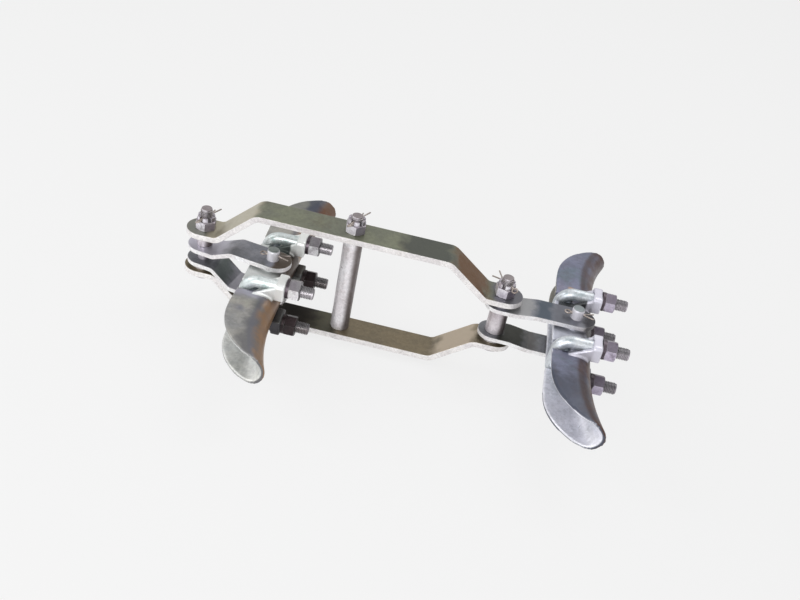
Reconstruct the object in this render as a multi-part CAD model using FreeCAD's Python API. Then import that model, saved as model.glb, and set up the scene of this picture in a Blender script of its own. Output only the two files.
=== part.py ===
import FreeCAD, Part
import math
import os

# Double suspension clamp for the two vertical sub-conductors of an overhead line.
# Two joggled flat bars make the frame. The hanger bolt is at one end, a spacing bolt is in the
# middle and the link bolt is at the other end. A pair of straps swings on each end bolt, and a
# boat-shaped conductor clamp turns on trunnions between each pair.
#
# Frame of the model: the origin is the middle of the bare hanger bolt between the left straps.
# +X runs from the hanger bolt to the link bolt, which is downwards when the clamp is in service.
# +Y runs along the conductors and +Z along the bolts, towards their nuts.

# Driving dimensions, frame (mm)
bolt_spacing = 396.0
middle_bolt_x = 193.2
bar_width = 42.5
bar_thickness = 8.0
bar_end_reach = 24.5
bar_bend_radius = 13.0
hanger_half_gap = 25.0
middle_half_gap = 72.0
link_half_gap = 31.3
hanger_flat = 20.2
hanger_joggle_end = 69.5
link_joggle_start = 75.2
link_flat = 23.2

# Driving dimensions, bolts, sleeves and split pins
bolt_d = 16.0
bolt_hole_clearance = 0.5
running_clearance = 0.05
bolt_head_height = 8.0
hanger_bolt_reach = 29.0
middle_bolt_reach = 23.0
link_bolt_reach = 26.0
bolt_end_chamfer = 1.5
nut_across_flats = 24.0
nut_height = 13.0
nut_chamfer = 1.2
crown_d = 22.5
crown_height = 5.5
crown_slot_width = 4.6
hanger_sleeve_d = 20.0
sleeve_d = 25.0
sleeve_bore_clearance = 0.4
side_clearance = 0.15
spacer_washer_d = 30.0
hanger_washer_space = 6.0
split_pin_d = 4.0
split_pin_hole_d = 4.4
split_pin_leg_gap = 0.3
split_pin_tail = 13.0
split_pin_splay = 20.0
split_pin_roll = 60.0
split_pin_neck = 2.5
split_pin_eye_d = 9.0
split_pin_eye_wire = 2.2
hanger_pin_turn = 70.0
middle_pin_turn = 70.0
link_pin_turn = 132.0

# Driving dimensions, straps
strap_length = 97.0
strap_width = 40.0
strap_thickness = 6.0
strap_end_reach = 21.5
strap_far_reach = 25.0
strap_bend_radius = 9.0
strap_flat = 20.6
strap_joggle = 26.0
left_strap_half_gap = 7.25
right_strap_half_gap = 19.5
clamp_strap_half_gap = 23.5
left_clamp_drop = 4.0
left_strap_angle = -9.5
right_strap_angle = 0.0

# Driving dimensions, clamp body
groove_r = 13.0
groove_x = 7.5
groove_straight = 62.0
side_wall = 6.5
keel_wall = 5.5
rim_x = -27.0
rim_straight = 30.0
wing_y = 189.0
wing_half_width = 24.0
wing_tip_taper = 3.0
wing_side_wall = 5.0
wing_droop = 20.0
trunnion_d = 16.0
trunnion_reach = 44.5
trunnion_boss_d = 34.0
trunnion_pin_offset = 6.0
ear_seat_x = 33.0
ear_thickness = 12.0
ear_half_width = 16.0
ear_edge = 10.5
ear_corner_r = 5.0
rib_width = 5.5
rib_length = 27.0
rib_leg_gap = 1.3
boss_side_gap = 0.3

# Driving dimensions, U-bolts and keeper
u_bolt_d = 16.0
u_bolt_y = 53.0
u_bolt_half_spacing = 28.0
u_bolt_top_x = -20.0
u_bolt_corner_r = 18.0
u_bolt_end_x = 67.5
u_bolt_hole_clearance = 0.5
u_bolt_notch_clearance = 1.2
u_nut_height = 14.0
spring_washer_d = 25.5
spring_washer_height = 4.0
spring_washer_slit = 2.0
spring_washer_slant = 35.0
keeper_half_length = 100.0
keeper_side_clearance = 0.5
keeper_lip_depth = 3.5
keeper_crown = 3.0
keeper_crown_r = 8.0
keeper_seat_clearance = 0.1
keeper_seat_play = 1.0
keeper_mouth = 22.0
keeper_flare = 5.0

# Worked out from the driving dimensions
frame_mid_z = hanger_half_gap - hanger_washer_space - left_strap_half_gap - strap_thickness
bolt_hole_r = bolt_d/2 + bolt_hole_clearance
running_bore_r = bolt_d/2 + running_clearance
groove_half_width = groove_r
body_half_width = groove_half_width + side_wall
groove_bottom_x = groove_x + groove_r
keel_x = groove_bottom_x + keel_wall
u_bolt_r = u_bolt_d/2
u_bolt_hole_r = u_bolt_r + u_bolt_hole_clearance
u_bolt_bend_x = u_bolt_top_x + u_bolt_corner_r
keeper_seat_x = u_bolt_top_x + u_bolt_r + keeper_seat_clearance

# Side view of a wing's rim, as shares of its way out along Y and of its fall towards the keel
wing_rim_shape = [(0.364, 0.048), (0.596, 0.178), (0.783, 0.370), (0.919, 0.603), (0.990, 0.849)]

Z_AXIS = FreeCAD.Vector(0, 0, 1)
Y_AXIS = FreeCAD.Vector(0, 1, 0)
X_AXIS = FreeCAD.Vector(1, 0, 0)


def vec(x, y, z):
    return FreeCAD.Vector(x, y, z)


def cylinder(radius, start, end):
    """Round bar between two points."""
    axis = end - start
    return Part.makeCylinder(radius, axis.Length, start, axis)


def box(low, high):
    return Part.makeBox(high[0] - low[0], high[1] - low[1], high[2] - low[2], vec(*low))


def placed(shape, x, y, z, turn):
    """The shape turned about Z by degrees and moved to a point."""
    moved = shape.copy()
    move = FreeCAD.Placement(vec(x, y, z), FreeCAD.Rotation(Z_AXIS, turn))
    moved.Placement = move.multiply(moved.Placement)
    return moved


def mirrored_z(shape):
    return shape.mirror(vec(0, 0, 0), Z_AXIS)


def mirrored_y(shape):
    return shape.mirror(vec(0, 0, 0), Y_AXIS)


def write(name, shape):
    clean = shape.removeSplitter()
    clean.exportStep(os.path.join("parts", name + ".step"))


# Flat bars with joggles

def bent_bar_profile(points, thickness, bend_radius):
    """Face in the XZ plane of a flat bar that follows a bent centre line."""
    sides = {1: [], -1: []}
    half = thickness/2
    count = len(points)
    directions = []
    for first, second in zip(points, points[1:]):
        run = vec(second[0] - first[0], 0, second[1] - first[1])
        directions.append(run.normalize())
    for side in (1, -1):
        here = vec(points[0][0], 0, points[0][1]) + left_of(directions[0])*half*side
        for index in range(1, count - 1):
            before, after = directions[index - 1], directions[index]
            corner = vec(points[index][0], 0, points[index][1])
            turn = math.atan2(before.x*after.z - before.z*after.x, before.dot(after))
            reach = bend_radius*math.tan(abs(turn)/2)
            hand = 1 if turn > 0 else -1
            start = corner - before*reach
            centre = start + left_of(before)*bend_radius*hand
            radius = bend_radius - half*side*hand
            arc_start = start + left_of(before)*half*side
            arc_end = corner + after*reach + left_of(after)*half*side
            to_corner = (corner - centre).normalize()
            sides[side].append(Part.makeLine(here, arc_start))
            sides[side].append(Part.Arc(arc_start, centre + to_corner*radius, arc_end).toShape())
            here = arc_end
        end = vec(points[-1][0], 0, points[-1][1]) + left_of(directions[-1])*half*side
        sides[side].append(Part.makeLine(here, end))
    first_cap = Part.makeLine(sides[-1][0].firstVertex().Point, sides[1][0].firstVertex().Point)
    last_cap = Part.makeLine(sides[1][-1].lastVertex().Point, sides[-1][-1].lastVertex().Point)
    edges = Part.sortEdges(sides[1] + sides[-1] + [first_cap, last_cap])[0]
    return Part.Face(Part.Wire(edges))


def left_of(direction):
    return vec(-direction.z, 0, direction.x)


def joggled_bar(points, thickness, bend_radius, width, ends, holes):
    """Flat bar of the given width with round ends and bolt holes, as (x, radius)."""
    profile = bent_bar_profile(points, thickness, bend_radius)
    profile.translate(vec(0, -width/2, 0))
    bar = profile.extrude(vec(0, width, 0))
    radius = width/2
    low, high = ends[0] + radius, ends[1] - radius
    tall = 400.0
    plan = box((low, -radius, -tall/2), (high, radius, tall/2))
    plan = plan.fuse(Part.makeCylinder(radius, tall, vec(low, 0, -tall/2)))
    plan = plan.fuse(Part.makeCylinder(radius, tall, vec(high, 0, -tall/2)))
    bar = bar.common(plan)
    for x, hole_radius in holes:
        bar = bar.cut(Part.makeCylinder(hole_radius, tall, vec(x, 0, -tall/2)))
    return bar


def frame_bar():
    """Upper frame bar, with its heights measured from the frame's middle plane."""
    half = bar_thickness/2
    low, high = -bar_end_reach, bolt_spacing + bar_end_reach
    points = [(low, hanger_half_gap + half),
              (hanger_flat, hanger_half_gap + half),
              (hanger_joggle_end, middle_half_gap + half),
              (bolt_spacing - link_joggle_start, middle_half_gap + half),
              (bolt_spacing - link_flat, link_half_gap + half),
              (high, link_half_gap + half)]
    holes = [(0, bolt_hole_r), (middle_bolt_x, bolt_hole_r), (bolt_spacing, bolt_hole_r)]
    return joggled_bar(points, bar_thickness, bar_bend_radius, bar_width, (low, high), holes)


def strap(half_gap, clamp_gap):
    """Upper strap, with the bolt at x = 0, the trunnion at its far end and heights from mid-plane."""
    half = strap_thickness/2
    low, high = -strap_end_reach, strap_length + strap_far_reach
    points = [(low, half_gap + half),
              (strap_flat, half_gap + half),
              (strap_flat + strap_joggle, clamp_gap + half),
              (high, clamp_gap + half)]
    holes = [(0, running_bore_r), (strap_length, trunnion_d/2 + running_clearance)]
    return joggled_bar(points, strap_thickness, strap_bend_radius, strap_width, (low, high), holes)


# Bolts, nuts, sleeves and pins

def hexagon(across_flats, height, base):
    corner = across_flats/math.sqrt(3)
    points = [vec(base.x + corner*math.cos(math.radians(60*k)),
                  base.y + corner*math.sin(math.radians(60*k)), base.z) for k in range(7)]
    return Part.Face(Part.makePolygon(points)).extrude(vec(0, 0, height))


def turned(profile, base):
    """Solid of revolution about Z from (radius, height) points."""
    points = [vec(base.x + r, base.y, base.z + z) for r, z in profile]
    face = Part.Face(Part.makePolygon(points + [points[0]]))
    return face.revolve(base, Z_AXIS, 360)


def chamfered_hexagon(across_flats, height, base, top=True, bottom=True):
    corner = across_flats/math.sqrt(3)
    flat = across_flats/2 - nut_chamfer*0.2
    rise = nut_chamfer
    lower = [(flat, 0), (corner + 0.1, rise)] if bottom else [(corner + 0.1, 0)]
    upper = [(corner + 0.1, height - rise), (flat, height)] if top else [(corner + 0.1, height)]
    outer = turned([(0, 0)] + lower + upper + [(0, height)], base)
    return hexagon(across_flats, height, base).common(outer)


def slotted_nut():
    """Hexagon nut with a slotted crown for the split pin."""
    body = placed(chamfered_hexagon(nut_across_flats, nut_height, vec(0, 0, 0)), 0, 0, 0, 30)
    nut = body.fuse(Part.makeCylinder(crown_d/2, crown_height, vec(0, 0, nut_height)))
    for turn in (0, 60, 120):
        slot = box((-crown_d, -crown_slot_width/2, 0), (crown_d, crown_slot_width/2, crown_height))
        nut = nut.cut(placed(slot, 0, 0, nut_height, turn))
    return nut.cut(Part.makeCylinder(bolt_d/2, nut_height + crown_height, vec(0, 0, 0)))


def bolt(x, lower_z, upper_z, reach, pin_turn):
    """Bolt with its head under lower_z, its end above upper_z by reach and a hole for the split pin."""
    top = upper_z + reach
    head = chamfered_hexagon(nut_across_flats, bolt_head_height, vec(x, 0, lower_z - bolt_head_height),
                             top=False)
    radius = bolt_d/2
    length = top - lower_z
    shank = turned([(0, 0), (radius, 0), (radius, length - bolt_end_chamfer),
                    (radius - bolt_end_chamfer, length), (0, length)], vec(x, 0, lower_z))
    hole = Part.makeCylinder(split_pin_hole_d/2, bolt_d*2, vec(-bolt_d, 0, 0), X_AXIS)
    return head.fuse(shank).cut(placed(hole, x, 0, pin_height(upper_z), pin_turn))


def pin_height(upper_z):
    return upper_z + nut_height + crown_height/2


def split_pin(through):
    """Split pin along +X through a bar of the given diameter, with its eye at -X."""
    radius = split_pin_d/2
    start = -through/2 - split_pin_neck
    end = through/2 + split_pin_neck/2
    shank = cylinder(radius, vec(start, 0, 0), vec(end, 0, 0))
    slot = box((start + split_pin_neck/2, -radius, -split_pin_leg_gap/2), (end, radius, split_pin_leg_gap/2))
    shank = shank.cut(slot)
    eye_r = split_pin_eye_d/2
    eye = Part.makeTorus(eye_r - split_pin_eye_wire/2, split_pin_eye_wire/2,
                         vec(start - eye_r + split_pin_eye_wire, 0, 0), Y_AXIS)
    pin = shank.fuse(eye)
    wire_r = (radius - split_pin_leg_gap/2)/2
    for side in (1, -1):
        knee = vec(end - wire_r, 0, side*(split_pin_leg_gap/2 + wire_r))
        splay = math.radians(split_pin_splay)
        tail = knee + vec(split_pin_tail*math.cos(splay), 0, side*split_pin_tail*math.sin(splay))
        pin = pin.fuse(cylinder(wire_r, knee, tail))
        pin = pin.fuse(Part.makeSphere(wire_r, knee))
        pin = pin.fuse(Part.makeSphere(wire_r, tail))
    return pin


def sleeve(outer_d, bore_r, x, low_z, high_z):
    tube = Part.makeCylinder(outer_d/2, high_z - low_z, vec(x, 0, low_z))
    return tube.cut(Part.makeCylinder(bore_r, high_z - low_z, vec(x, 0, low_z)))


# Conductor clamp, in its own frame: trunnion axis on Z, conductor along Y, keel towards +X

def wing_half_width_at(share):
    """Outer half width of the trough, from the straight groove (0) to the wing's tip (1)."""
    swell = math.sin(min(share/0.5, 1.0)*math.pi/2)
    fall = max(0.0, share - 0.6)/0.4
    return body_half_width + (wing_half_width - body_half_width)*swell - wing_tip_taper*fall*fall


def wing_droop_at(share):
    """How far the keel has dropped towards +X at this share of the wing."""
    return wing_droop*share**2.6


def trough_section(y, half_width, bottom_x, top_x):
    """Closed U section at y with a round bottom."""
    low_x = bottom_x - half_width
    corner = [vec(top_x, y, half_width), vec(low_x, y, half_width),
              vec(low_x, y, -half_width), vec(top_x, y, -half_width)]
    bottom = Part.Arc(corner[1], vec(bottom_x, y, 0), corner[2]).toShape()
    return Part.Wire([Part.makeLine(corner[0], corner[1]), bottom,
                      Part.makeLine(corner[2], corner[3]), Part.makeLine(corner[3], corner[0])])


def trough_loft(wall, floor, top_x, overrun):
    """Swept U form of one wing, outside when wall and floor are zero."""
    sections = []
    for share in (0.0, 0.2, 0.4, 0.6, 0.8, 1.0 + overrun):
        y = groove_straight + (wing_y - groove_straight)*share
        side = wall[0] + (wall[1] - wall[0])*min(share/0.4, 1.0)
        half_width = wing_half_width_at(min(share, 1.0)) - side
        bottom = keel_x + wing_droop_at(share) - floor
        sections.append(trough_section(y, half_width, bottom, top_x))
    return Part.makeLoft(sections, True, False)


def side_outline():
    """Side view of the whole trough in the XY plane: rim on one side, open on the keel side."""
    tip_x = keel_x + wing_droop
    far_x = tip_x + wing_droop
    start_y = groove_straight + rim_straight
    rim = [vec(rim_x, start_y, 0)]
    for out, fall in wing_rim_shape:
        rim.append(vec(rim_x + (tip_x - rim_x)*fall, start_y + (wing_y - start_y)*out, 0))
    rim.append(vec(tip_x, wing_y, 0))
    curve = Part.BSplineCurve()
    curve.interpolate(rim, Tangents=[vec(0, 1, 0)] + [vec(0, 0, 0)]*5 + [vec(1, 0.1, 0)],
                      TangentFlags=[True] + [False]*5 + [True])
    front = curve.toShape()
    back = front.mirror(vec(0, 0, 0), Y_AXIS)
    end = rim[-1]
    edges = [front,
             Part.makeLine(end, vec(far_x, end.y, 0)),
             Part.makeLine(vec(far_x, end.y, 0), vec(far_x, -end.y, 0)),
             Part.makeLine(vec(far_x, -end.y, 0), vec(end.x, -end.y, 0)),
             back,
             Part.makeLine(vec(rim[0].x, -rim[0].y, 0), rim[0])]
    face = Part.Face(Part.Wire(Part.sortEdges(edges)[0]))
    face.translate(vec(0, 0, -2*wing_half_width))
    return face.extrude(vec(0, 0, 4*wing_half_width))


def trough():
    """Outer boat form less the conductor groove."""
    top_x = 2*rim_x
    outer_wing = trough_loft((0.0, 0.0), 0.0, top_x, 0.0)
    inner_wing = trough_loft((side_wall, wing_side_wall), keel_wall, 2*top_x, 0.08)
    middle = Part.Face(trough_section(-groove_straight, body_half_width, keel_x, top_x))
    outer = middle.extrude(vec(0, 2*groove_straight, 0))
    groove_face = Part.Face(trough_section(-groove_straight, groove_half_width, groove_bottom_x, 2*top_x))
    groove = groove_face.extrude(vec(0, 2*groove_straight, 0))
    outer = outer.fuse(outer_wing).fuse(mirrored_y(outer_wing))
    groove = groove.fuse(inner_wing).fuse(mirrored_y(inner_wing))
    return outer.common(side_outline()).cut(groove)


def ear():
    """Ear for the U-bolt leg at +Y, +Z, with a rib on each side of the leg."""
    inner_z = groove_half_width + side_wall/2
    outer_z = u_bolt_half_spacing + ear_edge
    low_x = ear_seat_x - ear_thickness
    flange = box((low_x, u_bolt_y - ear_half_width, inner_z),
                 (ear_seat_x, u_bolt_y + ear_half_width, outer_z))
    corners = [edge for edge in flange.Edges
               if abs(edge.CenterOfMass.z - outer_z) < 0.01 and abs(edge.CenterOfMass.x
               - (low_x + ear_thickness/2)) < 0.01]
    flange = flange.makeFillet(ear_corner_r, corners)
    shape = flange
    root_x = low_x + ear_thickness/2
    for side in (1, -1):
        near = u_bolt_y + side*(u_bolt_r + rib_leg_gap)
        far = near + side*rib_width
        points = [vec(root_x, near, inner_z), vec(root_x, near, outer_z - ear_corner_r/2),
                  vec(low_x - rib_length, near, body_half_width), vec(low_x - rib_length, near, inner_z)]
        rib = Part.Face(Part.makePolygon(points + [points[0]])).extrude(vec(0, far - near, 0))
        shape = shape.fuse(rib)
    leg = cylinder(u_bolt_hole_r, vec(2*rim_x, u_bolt_y, u_bolt_half_spacing),
                   vec(ear_seat_x, u_bolt_y, u_bolt_half_spacing))
    return shape.cut(leg)


def trunnion():
    """Boss and pin on the +Z side, with the split pin's hole."""
    boss_top = clamp_strap_half_gap - boss_side_gap
    inner_z = groove_half_width + side_wall/2
    boss = Part.makeCylinder(trunnion_boss_d/2, boss_top - inner_z, vec(0, 0, inner_z))
    radius = trunnion_d/2
    length = trunnion_reach - inner_z
    pin = turned([(0, 0), (radius, 0), (radius, length - bolt_end_chamfer),
                  (radius - bolt_end_chamfer, length), (0, length)], vec(0, 0, inner_z))
    hole = Part.makeCylinder(split_pin_hole_d/2, trunnion_d*2,
                             vec(-trunnion_d, 0, trunnion_pin_z()), X_AXIS)
    return boss.fuse(pin).cut(hole)


def trunnion_pin_z():
    return clamp_strap_half_gap + strap_thickness + trunnion_pin_offset


def u_bolt_notches():
    """Slots in the side walls that let the U-bolts' bends over the rims."""
    half = u_bolt_r + u_bolt_notch_clearance
    centre_x = u_bolt_bend_x - half
    reach = 2*wing_half_width
    notch = box((2*rim_x, u_bolt_y - half, -reach), (centre_x, u_bolt_y + half, reach))
    notch = notch.fuse(cylinder(half, vec(centre_x, u_bolt_y, -reach), vec(centre_x, u_bolt_y, reach)))
    return notch.fuse(mirrored_y(notch))


def clamp_body():
    """One casting: trough, four ears and two trunnions."""
    body = trough().cut(u_bolt_notches())
    side = trunnion().fuse(ear()).fuse(mirrored_y(ear()))
    body = body.fuse(side).fuse(mirrored_z(side))
    return body


def u_bolt(y):
    """U-bolt at y with its top towards -X and its legs towards +X."""
    centre_z = u_bolt_half_spacing - u_bolt_corner_r
    shape = cylinder(u_bolt_r, vec(u_bolt_top_x, y, -centre_z), vec(u_bolt_top_x, y, centre_z))
    ring = Part.Face(Part.Wire(Part.makeCircle(u_bolt_r, vec(u_bolt_bend_x, y, u_bolt_half_spacing), X_AXIS)))
    corner = ring.revolve(vec(u_bolt_bend_x, y, centre_z), vec(0, -1, 0), 90)
    leg = Part.makeCylinder(u_bolt_r, u_bolt_end_x - u_bolt_bend_x,
                            vec(u_bolt_bend_x, y, u_bolt_half_spacing), X_AXIS)
    tip = [edge for edge in leg.Edges if abs(edge.CenterOfMass.x - u_bolt_end_x) < 0.01]
    half = corner.fuse(leg.makeChamfer(bolt_end_chamfer, tip))
    return shape.fuse(half).fuse(mirrored_z(half))


def along_x(shape, x, y, z):
    """A shape made along +Z, laid along +X at a point."""
    moved = shape.copy()
    move = FreeCAD.Placement(vec(x, y, z), FreeCAD.Rotation(Y_AXIS, 90))
    moved.Placement = move.multiply(moved.Placement)
    return moved


def u_nut():
    nut = chamfered_hexagon(nut_across_flats, u_nut_height, vec(0, 0, 0))
    return nut.cut(Part.makeCylinder(u_bolt_r + running_clearance, u_nut_height, vec(0, 0, 0)))


def spring_washer():
    """Flat ring with one slanting slit."""
    ring = Part.makeCylinder(spring_washer_d/2, spring_washer_height, vec(0, 0, 0))
    ring = ring.cut(Part.makeCylinder(u_bolt_hole_r, spring_washer_height, vec(0, 0, 0)))
    slit = box((u_bolt_r/2, -spring_washer_slit/2, -3*spring_washer_height),
               (spring_washer_d, spring_washer_slit/2, 4*spring_washer_height))
    slit.rotate(vec(0, 0, spring_washer_height/2), X_AXIS, spring_washer_slant)
    return ring.cut(slit)


def keeper():
    """Pressing piece between the U-bolts' tops and the conductor."""
    half_width = groove_half_width - keeper_side_clearance
    low_x = keeper_seat_x - keeper_crown
    high_x = groove_x - groove_r + keeper_lip_depth
    block = box((low_x, -keeper_half_length, -half_width), (high_x, keeper_half_length, half_width))
    crown = [edge for edge in block.Edges
             if abs(edge.CenterOfMass.x - low_x) < 0.01 and abs(edge.CenterOfMass.y) < 0.01]
    shape = block.makeFillet(keeper_crown_r, crown)
    shape = shape.cut(cylinder(groove_r, vec(groove_x, -keeper_half_length, 0),
                               vec(groove_x, keeper_half_length, 0)))
    seat_half = u_bolt_r + keeper_seat_play
    for side in (1, -1):
        mouth = Part.makeCone(groove_r, groove_r + keeper_flare, keeper_mouth,
                              vec(groove_x, side*(keeper_half_length - keeper_mouth), 0), vec(0, side, 0))
        shape = shape.cut(mouth)
        middle = side*u_bolt_y
        shape = shape.cut(box((2*low_x, middle - seat_half, -half_width),
                              (keeper_seat_x, middle + seat_half, half_width)))
    return shape


# Placing the pieces

def on_frame(shape):
    """Moves a shape made about the frame's middle plane to its height."""
    return placed(shape, 0, 0, frame_mid_z, 0)


def build_frame():
    bar = frame_bar()
    write("frame_bar_upper", on_frame(bar))
    write("frame_bar_lower", on_frame(mirrored_z(bar)))
    stations = [("hanger", 0.0, hanger_half_gap, hanger_bolt_reach, hanger_pin_turn),
                ("middle", middle_bolt_x, middle_half_gap, middle_bolt_reach, middle_pin_turn),
                ("link", bolt_spacing, link_half_gap, link_bolt_reach, link_pin_turn)]
    for name, x, half_gap, reach, turn in stations:
        face = half_gap + bar_thickness
        upper = frame_mid_z + face
        write(name + "_bolt", bolt(x, frame_mid_z - face, upper, reach, turn))
        write(name + "_nut", placed(slotted_nut(), x, 0, upper, turn))
        pin = split_pin(crown_d)
        pin.rotate(vec(0, 0, 0), X_AXIS, split_pin_roll)
        write(name + "_split_pin", placed(pin, x, 0, pin_height(upper), turn))


def build_sleeves():
    bore_r = bolt_d/2 + sleeve_bore_clearance
    low = frame_mid_z - middle_half_gap
    write("middle_sleeve", sleeve(sleeve_d, bore_r, middle_bolt_x, low, low + 2*middle_half_gap))
    strap_top = left_strap_half_gap + strap_thickness + side_clearance
    write("hanger_sleeve", sleeve(hanger_sleeve_d, bore_r, 0, strap_top, frame_mid_z + hanger_half_gap))
    write("hanger_washer", sleeve(spacer_washer_d, bore_r, 0, frame_mid_z - hanger_half_gap, -strap_top))
    inner = right_strap_half_gap - side_clearance
    outer = right_strap_half_gap + strap_thickness + side_clearance
    write("link_sleeve", sleeve(sleeve_d, bore_r, bolt_spacing, frame_mid_z - inner, frame_mid_z + inner))
    write("link_washer_upper", sleeve(spacer_washer_d, bore_r, bolt_spacing, frame_mid_z + outer,
                                      frame_mid_z + link_half_gap))
    write("link_washer_lower", sleeve(spacer_washer_d, bore_r, bolt_spacing, frame_mid_z - link_half_gap,
                                      frame_mid_z - outer))


def build_link_and_clamp(side, bolt_x, mid_z, half_gap, angle, drop):
    """A pair of straps on one end bolt and the clamp that turns between them, lower by the drop."""
    upper = strap(half_gap, clamp_strap_half_gap - drop)
    lower = mirrored_z(strap(half_gap, clamp_strap_half_gap + drop))
    write(side + "_strap_upper", placed(upper, bolt_x, 0, mid_z, angle))
    write(side + "_strap_lower", placed(lower, bolt_x, 0, mid_z, angle))
    pivot_x = bolt_x + strap_length*math.cos(math.radians(angle))
    pivot_y = strap_length*math.sin(math.radians(angle))

    def put(name, shape):
        write(side + "_" + name, placed(shape, pivot_x, pivot_y, mid_z - drop, 0))

    put("clamp_body", clamp_body())
    put("keeper", keeper())
    cotter = split_pin(trunnion_d)
    cotter.rotate(vec(0, 0, 0), X_AXIS, 90)
    cotter.translate(vec(0, 0, trunnion_pin_z()))
    put("trunnion_pin_upper", cotter)
    put("trunnion_pin_lower", mirrored_z(cotter))
    washer = spring_washer()
    nut = u_nut()
    for row, y in (("front", -u_bolt_y), ("back", u_bolt_y)):
        put("u_bolt_" + row, u_bolt(y))
        for level, z in (("upper", u_bolt_half_spacing), ("lower", -u_bolt_half_spacing)):
            put("spring_washer_" + row + "_" + level, along_x(washer, ear_seat_x, y, z))
            put("u_nut_" + row + "_" + level, along_x(nut, ear_seat_x + spring_washer_height, y, z))


def main():
    os.makedirs("parts", exist_ok=True)
    build_frame()
    build_sleeves()
    build_link_and_clamp("left", 0.0, 0.0, left_strap_half_gap, left_strap_angle, left_clamp_drop)
    build_link_and_clamp("right", bolt_spacing, frame_mid_z, right_strap_half_gap, right_strap_angle, 0.0)


main()
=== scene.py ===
import bpy
import math
from mathutils import Matrix, Vector


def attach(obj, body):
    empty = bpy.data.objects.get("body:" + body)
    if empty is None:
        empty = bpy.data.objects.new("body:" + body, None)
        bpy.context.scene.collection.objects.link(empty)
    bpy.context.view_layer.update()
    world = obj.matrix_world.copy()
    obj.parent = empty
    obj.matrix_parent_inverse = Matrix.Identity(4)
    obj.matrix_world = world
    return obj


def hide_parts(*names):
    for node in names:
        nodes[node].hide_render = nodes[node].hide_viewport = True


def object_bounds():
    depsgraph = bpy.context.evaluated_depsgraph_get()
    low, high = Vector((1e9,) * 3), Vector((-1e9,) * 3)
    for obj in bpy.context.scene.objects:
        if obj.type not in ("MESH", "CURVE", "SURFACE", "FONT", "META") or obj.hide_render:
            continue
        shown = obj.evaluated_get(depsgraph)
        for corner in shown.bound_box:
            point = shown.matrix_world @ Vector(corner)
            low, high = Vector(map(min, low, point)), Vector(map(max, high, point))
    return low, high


# Dressing of a double suspension clamp, in the frame of the solids. Lengths are in millimetres where nothing
# says metres, and MM turns them into the metres that Blender has.

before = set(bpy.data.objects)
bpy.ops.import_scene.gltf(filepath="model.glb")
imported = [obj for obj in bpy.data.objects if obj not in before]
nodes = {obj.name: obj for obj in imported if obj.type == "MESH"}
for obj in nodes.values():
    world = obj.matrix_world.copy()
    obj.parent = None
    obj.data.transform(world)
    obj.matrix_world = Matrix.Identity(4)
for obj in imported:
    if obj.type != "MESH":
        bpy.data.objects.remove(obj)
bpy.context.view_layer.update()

MM = 0.001

# Middle height of the frame
FRAME_MID_Z = 5.75

# Flat bars, in millimetres: corner points (x, z) of the frame bars' centre line above the middle, the straps'
# ends and bends in X, and of both the thickness, width, bend radius and eased edge
BAR_POINTS = [(-24.5, 29.0), (20.2, 29.0), (69.5, 76.0), (320.8, 76.0), (372.8, 35.3), (420.5, 35.3)]
BAR_THICKNESS, BAR_WIDTH, BAR_BEND = 8.0, 42.5, 13.0
STRAP_THICKNESS, STRAP_WIDTH, STRAP_BEND = 6.0, 40.0, 9.0
STRAP_ENDS = (-21.5, 122.0)
STRAP_BENDS = (20.6, 46.6)
BAR_EDGE, STRAP_EDGE = 0.9, 0.7

# Holes in the bars for the bolts, and in the straps for the bolt and the trunnion: places and radius. The
# cutter reaches through every joggle.
BAR_HOLES, BAR_HOLE_R = (0.0, 193.2, 396.0), 8.5
STRAP_HOLES, STRAP_HOLE_R = (0.0, 97.0), 8.05
CUTTER_LENGTH = 400.0

# Pairs of straps: bolt x, middle height, half gap at the bolt, turn in degrees, half gaps at the clamp
STRAPS = {"left": (0.0, 0.0, 7.25, -9.5, {"upper": 19.5, "lower": 27.5}),
          "right": (396.0, FRAME_MID_Z, 19.5, 0.0, {"upper": 23.5, "lower": 23.5})}

# Bolts, in millimetres: x and height of the tip. The thread reaches this far down from the tip.
FRAME_BOLTS = {"hanger": (0.0, 67.75), "middle": (193.2, 108.75), "link": (396.0, 71.05)}
BOLT_THREAD = 34.0

# Threads, in millimetres: outer radius, pitch and depth. The ridge's crest is a share of its foot, the foot
# is a share of the pitch, and it sinks a little into the rod.
THREAD_R, THREAD_PITCH, THREAD_DEPTH = 8.0, 2.0, 1.1
RIDGE_CREST, RIDGE_FOOT, RIDGE_SUNK = 0.25, 0.95, 0.1
TIP_CHAMFER = 1.5

# Clamps, in millimetres: pivot, the U-bolts' places around it, and where their legs' threads start and end
CLAMPS = {"left": Vector((95.670, -16.010, -4.0)), "right": Vector((493.0, 0.0, FRAME_MID_Z))}
LEG_Y, LEG_Z, LEG_START, LEG_END = 53.0, 28.0, 22.0, 67.5

# How far a thread starts inside the rod that carries it, in millimetres
OVERLAP = 2.0

# Zones of a clamp for its finish, in millimetres from the pivot. The keel's brown, a painted reflection, goes
# this far up and down.
KEEL_UP, KEEL_DOWN = 20.0, 8.0
# Half height of the trough inside, and half length of the middle
INSIDE_Z, MIDDLE_Y = 20.5, 46.0
# Start of the back tip, ends of the wings and of the trough's painted shade, and depth of the wings
BACK_TIP_Y, WING_END, TROUGH_END, WING_DEPTH = 120.0, 200.0, 160.0, 90.0
# Start of the ears in X, their stretch in Y, and their start in height
EAR_X, EAR_Y, EAR_Z = -6.0, (36.0, 71.0), 14.5
# Start of the trunnions' free ends in height, and their reach around the pivot
TRUNNION_Z, TRUNNION_REACH = 29.0, 10.0
# How far zones reach across the whole clamp, and past the ends of the legs
CLAMP_REACH, LEG_SPARE = 60.0, 10.0

# Eased edges of the small parts, in millimetres
BOLT_HEAD_EDGE, NUT_EDGE, SLEEVE_EDGE, WASHER_EDGE, SPRING_WASHER_EDGE = 0.5, 0.4, 0.6, 0.4, 0.3

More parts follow.
